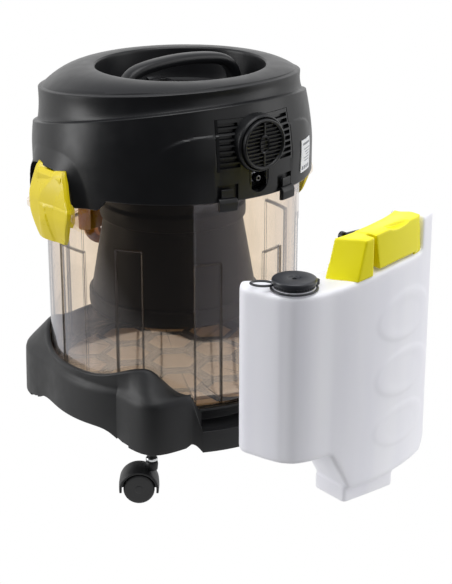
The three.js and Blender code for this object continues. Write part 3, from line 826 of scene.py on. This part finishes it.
def make_label():
    """A blank plate with a few plain bars for its print."""

    def bar(a0, a1, step, z0, z1):
        return curved_slab(lambda a, z: head_radius(a, z) + 1.5, 0.3, span(a0, a1, step), [z0, z1])

    plate = curved_slab(lambda a, z: head_radius(a, z) + 1.3, 1.0, span(-36, -26, 0.5), span(500, 549, 3.5))
    dress(plate, "label_plate", label_white, "head", ["rating_plate"])
    bars = [bar(-34.5, -27.5, 0.5, 541, 544.2)]
    for k in range(5):
        low = 534 - 4.6 * k
        bars.append(bar(-34.5, -28.5 - (k % 3), 0.5, low, low + 1.1))
    for k in range(4):
        start = -34.5 + 2.1 * k
        bars.append(bar(start, start + 1.3, 0.4, 503.5, 509))
    dress(joined(bars), "label_marks", print_grey, "head")


def spline(path, steps):
    """Points of a smooth curve through the path's (x, z) points."""
    fine = []
    for i in range(len(path) - 1):
        near = (path[max(0, i - 1)], path[i], path[i + 1], path[min(len(path) - 1, i + 2)])
        for t in (k / steps for k in range(steps)):
            point = (
                0.5 * (2 * b + (c - a) * t + (2 * a - 5 * b + 4 * c - d) * t * t + (3 * b - a - 3 * c + d) * t**3)
                for a, b, c, d in zip(*near)
            )
            fine.append(tuple(point))
    return fine + [path[-1]]


def make_carry_handle():
    half = [(104, 0), (103, 16), (98, 32), (82, 46), (50, 53)]
    path = spline([(-x, z) for x, z in half] + [(0, 56)] + half[::-1], 4)
    rows = []
    for i, (x, z) in enumerate(path):
        px, pz = path[max(0, i - 1)]
        nx, nz = path[min(len(path) - 1, i + 1)]
        length = math.hypot(nx - px, nz - pz)
        ux, uz = (pz - nz) / length, (nx - px) / length
        row = []
        for t in turns(20):
            c = math.copysign(abs(math.cos(t)) ** 0.75, math.cos(t)) * 9
            s = math.copysign(abs(math.sin(t)) ** 0.75, math.sin(t)) * 13
            row.append((x + ux * c, RECESS_Y - 2 + s, 598.4 + max(0, z + uz * c)))
        rows.append(row)
    dress(shell(rows), "carry_bar", shell_black, "head", ["carry_handle"], 40)


def make_switches():
    plate = block(-46, 46, -89, -51, 598.3, 604.2, 6, 6)
    carve(plate, [block(s * 22 - 15, s * 22 + 15, -80, -60, 599.8, 620, 1.2) for s in (-1, 1)])
    bevelled(plate, 0.6)
    dress(plate, "switch_surround", gloss_black, "head", ["switch_plate"], 35)
    outline = rounded(
        [(-9, 604.2, 0.5), (0, 600.6, 0.5), (9, 604.2, 0.5), (9, 607.8, 1.2), (0, 606.2, 4), (-9, 609.8, 1.2)], 4
    )
    for side, name in ((1, "rocker_vacuum"), (-1, "rocker_pump")):
        key = prism(outline, lambda u, v, d: (side * 22 + d, -70 + u, v), -13.6, 13.6)
        dress(bevelled(key, 0.7), name + "_key", gloss_black, name, [name], 35)


# ---------------------------------------------------------------- latches
def latch_face(u, v):
    """How far the lever's face stands from the drum's axis; u is along the width and v the height."""
    r = 236.0
    if v > 470:
        r -= 9.5 * ((v - 470) / 50) ** 1.7
    if v < 452:
        r -= 8 * ((452 - v) / 42) ** 1.5
    crease_x = mix(-18, 14, smooth((v - 470) / 50)) if v > 470 else -18
    r += 1.0 - 3.4 * min(1, abs(u - crease_x) / 34)
    if v < 470:
        tongue = 15 * (470 - v) / 60 + 3
        if abs(u + 8) < tongue:
            r += 1.3 * smooth((tongue - abs(u + 8)) / 1.6) * smooth((470 - v) / 12)
    r += 0.9 * smooth((468.6 - v) / 1.6) * smooth((u + 20) / 8)
    return min(r, 237.4)


# Half widths at heights, on the side towards the front and on the side towards the rear.
LATCH_FRONT = ((411, 33), (421, 38), (440, 45), (454, 49), (480, 50), (500, 45.5), (521, 40))
LATCH_REAR = (
    (411, 33), (418, 39), (440, 47), (455, 52.5), (464, 54), (472, 51.5), (490, 45), (505, 38.5), (515, 33),
    (521, 29.4),
)


def latch_half(v, edge):
    """Half of the lever's width at a height, on one side."""
    for (low, a), (high, b) in zip(edge, edge[1:]):
        if v <= high:
            return mix(a, b, (v - low) / (high - low))
    return edge[-1][1]


def latch_row(v, place):
    """The lever's outline at a height: along its face and back along its inside."""
    sides = (latch_half(v, LATCH_FRONT), latch_half(v, LATCH_REAR))
    front, back = [], []
    for s in (mix(-1, 1, k / 48) for k in range(49)):
        half = sides[s >= 0]
        u = s * half
        height = v
        if v > 500:
            height -= (v - 500) / 21 * (5.5 * math.exp(-((u + 4) / 16) ** 2) - 3.0 * smooth((-u - 18) / 16))
        r = latch_face(u, v)
        drop = 3.5 * (1 - smooth((1 - abs(s)) * half / 3.0)) + 2 * smooth((v - 514) / 7)
        front.append(place(u, height, r - drop))
        back.append(place(u * 0.985, height, r - mix(4.4, 7.5, smooth((v - 411) / 30))))
    return front + back[::-1]


def make_latch(side, name):
    deg = side * LATCH_DEG
    a = math.radians(deg)

    def place(u, v, r):
        along = -u * side
        return (r * math.sin(a) + along * math.cos(a), r * math.cos(a) - along * math.sin(a), v)

    def across(outline, near, far):
        return prism(outline, lambda r, v, d: place(d, v, r), near, far)

    levels = with_edges(span(411, 521, 2.2), [469.4], 0.8)
    parts = [shell([latch_row(v, place) for v in levels])]
    cheek = [(229, 470, 2), (231, 446, 2), (224, 440, 2), (219, 449, 2), (219, 469, 2), (225, 478, 2)]
    hook = [(219, 502, 1), (219, 515, 2), (225, 518, 2), (230, 510, 1), (230, 500, 1)]
    parts += [across(rounded(cheek, 3), *sorted((s * 45.5, s * 49.2))) for s in (-1, 1)]
    parts.append(across(rounded(hook, 3), -30, 30))
    dress(joined(parts), "latch_lever_" + name, amber, "latch_" + name, ["latch_" + name], 24)

    ear = [(198, 436, 1), (214, 440, 3), (231, 452, 3), (231, 464, 3), (220, 469, 3), (198, 470, 1)]
    ears = [bevelled(across(rounded(ear, 3), *sorted((s * 55.4, s * 58.4))), 0.7) for s in (-1, 1)]
    ears.append(across(circle(3, 20, *LATCH_PIN), -56, 56))
    dress(joined(ears), "latch_ears_" + name, smoked, "base", ["latch_bracket_" + name], 35)
    catch = rounded([(207.4, 505, 0.5), (215, 505, 1), (216, 512, 2), (207.4, 516, 0.5)], 3)
    tab = bevelled(across(catch, -20, 20), 0.6)
    dress(tab, "latch_catch_" + name, orange, "head", sharp=35)


# ---------------------------------------------------------------- casters
def make_fork(place, trail, wheel_z, stem):
    """The hood over the wheels with its web, neck and axle."""
    outline = [(26.8, -22, 0.6), (30.4, -22, 2.2), (31.4, 0, 6), (30.4, 22, 2.2), (26.8, 22, 0.6), (27, 0, 3)]
    outline = rounded(outline, 3)
    rows = []
    for t in (math.radians(a) for a in span(-8, 190, 7)):
        rows.append([place(trail + r * math.cos(t), wheel_z + r * math.sin(t), d) for r, d in outline])
    web = []
    for t in (math.radians(a) for a in span(-8, 190, 8.25)):
        web.append((trail + 27 * math.cos(t), wheel_z + 27 * math.sin(t)))
    neck = [(0, 50, 0), (9, 50, 1), (10, 60, 2), (9, 64, 1.5), (5.5, 65, 0), (5.5, 114, 1), (0, 114, 0)]
    pin = prism(circle(3, 20, trail, wheel_z), place, -18, 18)
    return joined([shell(rows), prism(web, place, -2.4, 2.4), ring(rounded(neck, 3), 32, stem), pin])


def make_caster(name, wheel_z):
    body = "caster_" + name
    low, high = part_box("caster_collar_" + name)
    sx, sy = (low.x + high.x) * 500, ((low.y + high.y) / 2 - AXIS_Y) * 1000
    centres = {s: sum(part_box("caster_wheel_%s_%s" % (name, s)), Vector()) / 2 for s in "ab"}
    mid = (centres["a"] + centres["b"]) / 2
    wx, wy = mid.x * 1000, (mid.y - AXIS_Y) * 1000
    trail = math.hypot(wx - sx, wy - sy)
    cx, cy = (wx - sx) / trail, (wy - sy) / trail

    def place(u, v, d):
        """u runs from the stem towards the wheel, d along the axle."""
        return (sx + u * cx - d * cy, sy + u * cy + d * cx, v)

    fork = make_fork(place, trail, wheel_z, (sx, sy, 0))
    dress(fork, "caster_fork_" + name, base_black, body, ["caster_hood_" + name], 35)
    outline = [(5.8, 65.8, 0.4), (9.4, 65.8, 1), (9.4, 70, 1), (7.4, 71.4, 0.5), (5.8, 71.4, 0.3)]
    collar = ring(rounded(outline, 3), 40, (sx, sy, 0))
    dress(collar, "caster_ring_" + name, chrome, body, ["caster_collar_" + name])
    outline = rounded(
        [(0, 19.6, 0), (5.5, 19.6, 0.5), (6.4, 19.1, 0.5), (18, 19.4, 2), (21.5, 19.2, 1.5), (22.4, 18.8, 0.5),
         (24.1, 17.4, 1.6), (24.1, 6, 2.2), (22, 3.2, 1), (3.4, 3.2, 0.5), (3.4, 12, 0), (0, 12, 0)],
        3,
    )
    for s, sign in (("a", 1), ("b", -1)):
        rows = []
        for t in turns(56):
            rows.append([place(trail + r * math.cos(t), wheel_z + r * math.sin(t), d * sign) for r, d in outline])
        centre = centres[s]
        along = (centre.x * 1000 - wx) * -cy + ((centre.y - AXIS_Y) * 1000 - wy) * cx
        match = s if along * sign > 0 else "ab".replace(s, "")
        node = "caster_wheel_%s_%s" % (name, match)
        dress(shell(rows, True), "disc_%s_%s" % (name, s), wheel_black, body + "_wheels", [node], 30)


def make_casters():
    low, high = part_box("caster_wheel_front_a")
    for name in ("rear_left", "rear_right", "front"):
        make_caster(name, (low.z + high.z) * 500)


# ---------------------------------------------------------------- tank
def tank_reach(deg, radius):
    """Distance from the drum's axis to an arc about the tank's own centre line."""
    c = TANK_CENTRE_Y * math.cos(math.radians(deg))
    return c + math.sqrt(c * c - TANK_CENTRE_Y**2 + radius**2)


def tank_outline():
    """Plan of the tank where it docks: a flat left end, the outer arc, a radial right end and the inner arc."""

    def outer(deg):
        return polar(tank_reach(deg, TANK_OUTER), deg, 0)[:2]

    corners = [(129, 157, 6), (149, 179, 12), (128, 254, 34), (97, 268, 30), (*outer(12), 0)]
    left = rounded(corners + [(0, 200, 0)], 8)[:-1]
    middle = [outer(d) for d in span(11, -30, 1.6)]
    corner = polar(TANK_INNER, -35.5, 0)[:2]
    end = rounded([(*outer(-30), 0), (*outer(-35.5), 18), (*corner, 6), (0, 200, 0)], 8)[1:-1]
    back = [polar(TANK_INNER, d, 0)[:2] for d in span(-33, 37.5, 1.6)]
    return left + middle + end + back


def tank_block(outline, z0, z1):
    """A plan raised from z0 to z1 where the tank docks, and carried to where it stands."""
    return shell([[(x, y, z) for x, y in outline] for z in (z0, z1)], offset=TANK_AT)


def tank_side(u, v, d):
    """Place of a side-view outline on the tank where it stands."""
    return (u, d + TANK_Y, v + TANK_Z)


def tank_rise(co):
    """The tank's top climbs gently away from the filler, more at its outer edge than under the hooks; in metres."""
    x, y = co.x * 1000, (co.y - AXIS_Y) * 1000 - TANK_Y
    outward = smooth((math.hypot(x, y) - 232) / 32)
    return (0.008 + 0.006 * outward) * smooth((75 - x) / 150)


def make_tank():
    body = tank_block(tank_outline(), 155, 460.4)
    flank = [(56, 215), (22, 152), (22, 120), (260, 120), (260, 215)]
    under = [(-140, 152), (-184, 196), (-300, 196), (-300, 120), (-140, 120)]
    carve(body, [prism(outline, tank_side, 100, 420) for outline in (flank, under)])
    shoulder = tank_block(tank_outline(), 440, 511)
    keep = [(-300, 430), (-124, 430), (-124, 530), (-300, 530)]
    carve(shoulder, [prism(keep, tank_side, 100, 420)], "INTERSECT")
    carve(shoulder, [ring([(0, 463), (219, 463), (219, 540), (0, 540)], 96, TANK_AT)])
    foot = tank_block(rounded([(-66, 204, 4), (29, 204, 4), (29, 268, 5), (-66, 268, 5)], 4), 134, 158)
    deck = ((450, 27), (459.6, 27), (460.9, 26), (461, 0.5))
    deck = shell([[(x, y, z) for x, y in circle(r, 40, *FILLER)] for z, r in deck], offset=TANK_AT)
    skin = fuse([fuse([body, shoulder], 2.6, 12), fuse([foot, deck], 1.6, 3)], 2.2, 4)
    emboss(skin)
    for vertex in skin.data.vertices:
        vertex.co.z += tank_rise(vertex.co) * smooth((vertex.co.z * 1000 - 365) / 55)
    dress(skin, "water_tank", milky_painted_glow, "solution_tank", ["solution_tank"], 60)


def emboss(skin):
    """Raised ovals on the tank's outer face."""
    ovals = ((-84, 352, 62, 34, 1.0), (-84, 268, 64, 34, 1.0), (-80, 188, 60, 30, 0.8))
    cy = TANK_Y + TANK_CENTRE_Y
    for vertex in skin.data.vertices:
        x, y, z = vertex.co.x * 1000, (vertex.co.y - AXIS_Y) * 1000, vertex.co.z * 1000
        r = math.hypot(x, y - cy)
        if y < 380:
            continue
        lift = 0
        for ox, oz, w, h, amount in ovals:
            d = math.hypot((x - ox) / w, (z - oz) / h)
            lift += amount * smooth((1 - d) * 5 + 0.5) * (0.4 + 0.6 * smooth((d - 0.5) * 3))
        lift = (lift - 1.2) * smooth((r - TANK_OUTER + 8) / 7)
        vertex.co.x += x / r * lift / 1000
        vertex.co.y += (y - cy) / r * lift / 1000


def make_tank_handle():
    """A slab whose rear edge follows the head, with a slit beside its left block and a small scoop in the front."""
    low, top = 459.6, 515
    rear = 229.5

    def slab(inset, bottom, upper, first, last):
        rows = []
        for deg in span(first, last, 0.8):
            front = tank_reach(deg, TANK_OUTER - inset)
            section = ((rear, bottom), (front, bottom), (front, upper), (rear, upper))
            rows.append([polar(r, deg, z) for r, z in section])
        return shell(rows, offset=TANK_AT)

    def kept(body, outline, place=tank_side, near=140, far=320):
        return carve(body, [prism(outline, place, near, far)], "INTERSECT")

    turn = math.radians(22)

    def tilted(u, v, d):
        x = 37 + u * math.cos(turn) - d * math.sin(turn)
        return tank_side(x, v, 229 + u * math.sin(turn) + d * math.cos(turn))

    left = kept(slab(1, low, top, -8, 16), [(0, low), (-13, top), (-70, top), (-70, low)], tilted, -40, 80)
    left = kept(left, [(80, low), (80, top), (-9, top), (-9, low)])
    right = slab(5, low, top + 1, -34, -20)
    right = kept(right, [(-104, low), (-106, top + 1), (-116, top + 1), (-123, low)])
    grip = slab(2.5, low + 5, top + 1, -31, 2)
    grip = kept(grip, [(-22, low + 5), (-13, top + 1), (-110, top + 1), (-110, low + 5)])
    rest = slab(20, low + 4, top, -12, -1)
    scoop = prism(circle(24, 24, -62, 519, 8), tank_side, 256, 300)
    body = fuse([left, right, grip, rest], 1.2, 2, [scoop])
    for vertex in body.data.vertices:
        vertex.co.z += tank_rise(vertex.co)
    dress(body, "tank_grip", lemon, "solution_tank", ["tank_handle"], 30)


def make_cap():
    z = 461 + TANK_Z
    x, y = FILLER[0], FILLER[1] + TANK_Y
    at = (x, y, z)
    outline = [(23, 0.3, 0), (29.4, 0.3, 1), (29.4, 2.4, 1), (26, 3, 1), (26, 10, 1), (23, 10, 1)]
    neck = ring(rounded(outline, 3), 64, at)
    dress(neck, "neck_collar", milky_painted_glow, "solution_tank", ["neck_ring"])
    rows = []
    for k in range(120):
        grip = 28.4 - (0.7 if k % 3 == 0 else 0)
        outline = rounded(
            [(26.8, 3.6, 0), (28.4, 3.6, 0.8), (grip, 5, 0.5), (grip, 7.5, 1), (30.4, 8.5, 1), (30.8, 14, 1.6),
             (29.4, 15.8, 1.2), (26.4, 16.2, 0.5), (9, 16.2, 0.6), (8.2, 14.8, 0.4), (3.4, 14.8, 0.3),
             (3.2, 12.4, 0), (0, 12.4, 0), (0, 11, 0), (26.8, 11, 0)],
            2,
        )
        rows.append([polar(r, 3 * k, v) for r, v in outline])
    lid = shell(rows, True, at)
    dress(lid, "filler_lid", cap_black, "filler_cap", ["filler_cap"], 40)

    outline = [(29.8, 0.4, 0.6), (33, 0.4, 1), (33, 3.2, 1.2), (29.8, 3.2, 0.8)]
    parts = [ring(rounded(outline, 3), 64, at)]
    rows = []
    for t in turns(48):
        c, s = math.cos(t), math.sin(t)
        rows.append([
            (35 + 17 * c + r * c, 12 * s - 25 + r * s, 8 + 2.38 * c + lift) for r, lift in circle(2.1, 10, height=1.6)
        ])
    parts.append(shell(rows, True, at))
    parts.append(block(x - 38, x - 30.5, y + 2, y + 9, z + 0.6, z + 8.6, 1.6))
    dress(joined(parts), "cap_strap", cap_black, "solution_tank", ["cap_tether"], 40)


def make_coupling():
    z, y = 513 + TANK_Z, 222.5 + TANK_Y
    stem = ring(rounded([(0, 418.5, 0), (5.4, 418.5, 0.5), (5.4, 476, 2), (0, 478, 0)], 3), 32, (-32, y, 0))
    arm = shell([[(x, u, v) for u, v in circle(5, 24, y, z)] for x in (-32, -4, 0)])
    outline = rounded(
        [(4.8, 215.6, 0.4), (6.4, 215.6, 0.8), (6.4, 219, 0.4), (5.8, 219.6, 0.3), (5.8, 221.6, 0.3),
         (6.4, 222.2, 0.4), (6.4, 223, 0.4), (0, 223, 0), (0, 220, 0), (4.8, 220, 0)],
        3,
    )
    mouth = ring_y(outline, 40, (0, TANK_Y, z))
    outlet = joined([stem, arm, mouth])
    dress(outlet, "tank_outlet", gloss_black, "solution_tank", ["outlet_coupling"])


# ---------------------------------------------------------------- CAD nodes that stay
def finish_nodes():
    kept = {
        "head_plate": shell_black, "rim_gasket": rubber, "vacuum_motor": motor_alloy,
        "water_pump": shell_black,
        "float_ball": float_white, "coupling_pocket": gloss_black, "power_gland": rubber,
    }
    for name, material in kept.items():
        data = NODES[name].data
        data.materials.clear()
        data.materials.append(material)
        data.shade_smooth()
        data.set_sharp_from_angle(angle=math.radians(35))


# ---------------------------------------------------------------- studio
def make_floor():
    disc = ring([(0, -4), (12000, -4), (12000, -0.6), (0, -0.6)], 96)
    disc.name = "studio_floor"
    material = bpy.data.materials.new("studio_floor")
    material.use_nodes = True
    tree = material.node_tree
    tree.nodes.clear()
    glow = tree.nodes.new("ShaderNodeEmission")
    put(glow.inputs["Color"], (1, 1, 1, 1))
    seen = tree.nodes.new("ShaderNodeLightPath")
    place = tree.nodes.new("ShaderNodeTexCoord")
    along = tree.nodes.new("ShaderNodeVectorMath")
    along.operation = "DOT_PRODUCT"
    put(along.inputs[1], (math.sin(CAMERA_TURN), math.cos(CAMERA_TURN), 0))
    tree.links.new(place.outputs["Object"], along.inputs[0])
    near = spread(tree, along.outputs["Value"], 0.75, 0.08, 0.30, 0.65)
    strength = tree.nodes.new("ShaderNodeMapRange")
    tree.links.new(near, strength.inputs["To Min"])
    tree.links.new(seen.outputs["Is Camera Ray"], strength.inputs["Value"])
    tree.links.new(strength.outputs["Result"], glow.inputs["Strength"])
    out = tree.nodes.new("ShaderNodeOutputMaterial")
    tree.links.new(glow.outputs[0], out.inputs["Surface"])
    disc.data.materials.clear()
    disc.data.materials.append(material)
    disc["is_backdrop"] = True


def make_world():
    """White studio walls with a dark stretch where the camera stands; they light and mirror in the object."""
    world = bpy.data.worlds.new("studio")
    scene.world = world
    world.use_nodes = True
    tree = world.node_tree
    link = tree.links.new
    back = tree.nodes["Background"]
    place = tree.nodes.new("ShaderNodeTexCoord")
    parts = tree.nodes.new("ShaderNodeSeparateXYZ")
    link(place.outputs["Generated"], parts.inputs[0])
    turn = maths(tree, "ARCTAN2", parts.outputs["X"], parts.outputs["Y"])
    ramp = tree.nodes.new("ShaderNodeValToRGB")
    link(spread(tree, turn, 0, 1, -math.pi, math.pi), ramp.inputs["Fac"])
    stops = ramp.color_ramp.elements
    levels = [
        (-180, 1.0), (-110, 1.0), (-84, 0.9), (-62, 0.85), (10, 0.85), (13.5, 0.06), (60, 0.03), (90, 0.05),
        (104, 0.4), (126, 0.95), (180, 1.0),
    ]
    while len(stops) > 1:
        stops.remove(stops[-1])
    for i, (deg, level) in enumerate(levels):
        stop = stops[0] if i == 0 else stops.new((deg + 180) / 360)
        stop.position = (deg + 180) / 360
        stop.color = (level, level, level, 1)
    sky = tones(tree, spread(tree, parts.outputs["Z"], 0, 1, 0.35, 0.9), ramp.outputs["Color"], (0.72, 0.73, 0.76))
    seen = tree.nodes.new("ShaderNodeLightPath")
    link(tones(tree, seen.outputs["Is Camera Ray"], sky, (1, 1, 1)), back.inputs["Color"])
    put(back.inputs["Strength"], 1.0)


def soft_light(name, deg, distance, height, size, power):
    data = bpy.data.lights.new(name, "AREA")
    data.shape = "RECTANGLE"
    data.size, data.size_y = size
    data.energy = power
    light = bpy.data.objects.new(name, data)
    light.location = Vector(metres(polar(distance, deg, height)))
    aim = Vector(metres((0, 60, 330))) - light.location
    light.rotation_euler = aim.to_track_quat("-Z", "Y").to_euler()
    scene.collection.objects.link(light)


def make_camera():
    """Long lens looking down 20 degrees from the rear left."""
    pitch = math.radians(20)
    focal_px, long_side, sensor = 1600, 584, 36
    yaw = math.atan((226 - 170.5) / focal_px)
    data = bpy.data.cameras.new("view")
    data.sensor_width = sensor
    data.lens = focal_px * sensor / long_side
    data.clip_end = 50
    camera = bpy.data.objects.new("view", data)
    towards = Vector((math.sin(CAMERA_TURN), math.cos(CAMERA_TURN), 0))
    right = Vector((-math.cos(CAMERA_TURN), math.sin(CAMERA_TURN), 0))
    camera.location = Vector((0, AXIS_Y, 1.1492)) + towards * 2.4
    flat = right * math.sin(yaw) - towards * math.cos(yaw)
    look = flat * math.cos(pitch) - Vector((0, 0, math.sin(pitch)))
    camera.rotation_euler = look.to_track_quat("-Z", "Y").to_euler()
    scene.collection.objects.link(camera)
    scene.camera = camera


make_camera()
make_base()
make_drum()
make_tower()
make_inlet()
make_head()
make_exhaust_panel()
make_exhaust_cap()
make_hooks()
make_nipple()
make_label()
make_carry_handle()
make_switches()
make_latch(1, "left")
make_latch(-1, "right")
make_casters()
make_tank()
make_tank_handle()
make_cap()
make_coupling()
finish_nodes()
make_floor()
make_world()
soft_light("top", 20, 700, 2600, (1.8, 1.8), 28)
soft_light("side_right", -50, 2600, 1100, (1.4, 2.2), 16)
soft_light("side_left", 118, 2600, 1100, (1.0, 2.2), 34)
scene.view_settings.view_transform = "Standard"

visual_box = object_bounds()
boxes = {key: [list(corner) for corner in box] for key, box in (("cad", cad_box), ("visual", visual_box))}
